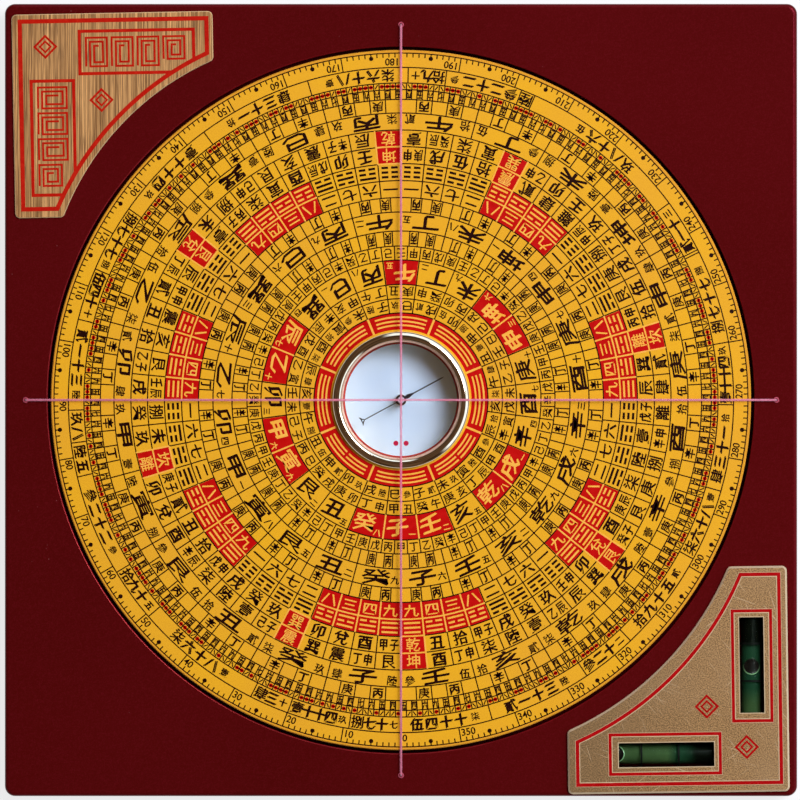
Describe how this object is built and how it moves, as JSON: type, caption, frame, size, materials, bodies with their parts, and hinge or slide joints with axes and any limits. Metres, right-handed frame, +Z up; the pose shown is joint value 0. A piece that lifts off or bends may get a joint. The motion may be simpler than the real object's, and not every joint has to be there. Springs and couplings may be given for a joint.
{
  "type": "feng shui compass",
  "caption": "Square board with a round dial that turns in a well, a needle capsule at its middle, crossed sight lines and spirit levels under a corner plate.",
  "frame": {"origin": "centre of the board's underside, below the dial's axis", "axes": "+Z up along the dial's axis, +Y to the far edge of the board, +X to the right edge, where the corner plate with the levels is at +X and -Y"},
  "size_m": [0.155, 0.155, 0.0156],
  "materials": {
    "board_laminate": "glossy",
    "dial_core": "satin",
    "dial_print": "satin",
    "capsule_brass": "polished",
    "bush_brass": "turned",
    "felt": "matte",
    "card_white": "matte",
    "crystal_glass": "clear",
    "gasket_red": "matte",
    "pin_steel": "polished",
    "needle_steel": "blued",
    "cap_metal": "polished",
    "jewel": "clear",
    "sight_line": "satin",
    "eyelet_red": "glossy",
    "crimp_metal": "satin",
    "upper_plate_metal": "brushed",
    "lower_plate_metal": "satin",
    "level_tube": "clear",
    "level_liquid": "clear",
    "level_black": "matte",
    "level_air": "clear"
  },
  "bodies": {
    "base": {"base_board": "board_laminate", "spindle_bush": "bush_brass", "glide_ring": "felt", "line_eyelets": "eyelet_red", "line_crimps": "crimp_metal", "sight_line_x": "sight_line", "sight_line_y": "sight_line", "upper_corner_plate": "upper_plate_metal", "lower_corner_plate": "lower_plate_metal", "level_x_tube": "level_tube", "level_x_plugs": "level_black", "level_x_marks": "level_black", "level_x_liquid": "level_liquid", "level_y_tube": "level_tube", "level_y_plugs": "level_black", "level_y_marks": "level_black", "level_y_liquid": "level_liquid"},
    "dial": {"dial_disc": "dial_core", "dial_face": "dial_print", "capsule_cup": "bush_brass", "compass_card": "card_white", "pivot_post": "bush_brass", "pivot_pin": "pin_steel", "crystal_gasket": "gasket_red", "crystal": "crystal_glass", "bezel_ring": "capsule_brass"},
    "needle": {"needle_blade": "needle_steel", "needle_cap": "cap_metal", "needle_jewel": "jewel"},
    "bubble_x": {"level_x_bubble": "level_air"},
    "bubble_y": {"level_y_bubble": "level_air"}
  },
  "joints": [
    {"name": "dial_turn", "type": "hinge", "parent": "base", "child": "dial", "pos_m": [0, 0, 0.0105], "axis": [0, 0, 1], "continuous": true},
    {"name": "needle_swing", "type": "hinge", "parent": "dial", "child": "needle", "pos_m": [0, 0, 0.0105], "axis": [0, 0, 1], "continuous": true},
    {"name": "bubble_x_slide", "type": "slide", "parent": "base", "child": "bubble_x", "axis": [1, 0, 0], "range_m": [0, 0.01722]},
    {"name": "bubble_y_slide", "type": "slide", "parent": "base", "child": "bubble_y", "axis": [0, 1, 0], "range_m": [-0.00781, 0.00941]}
  ]
}
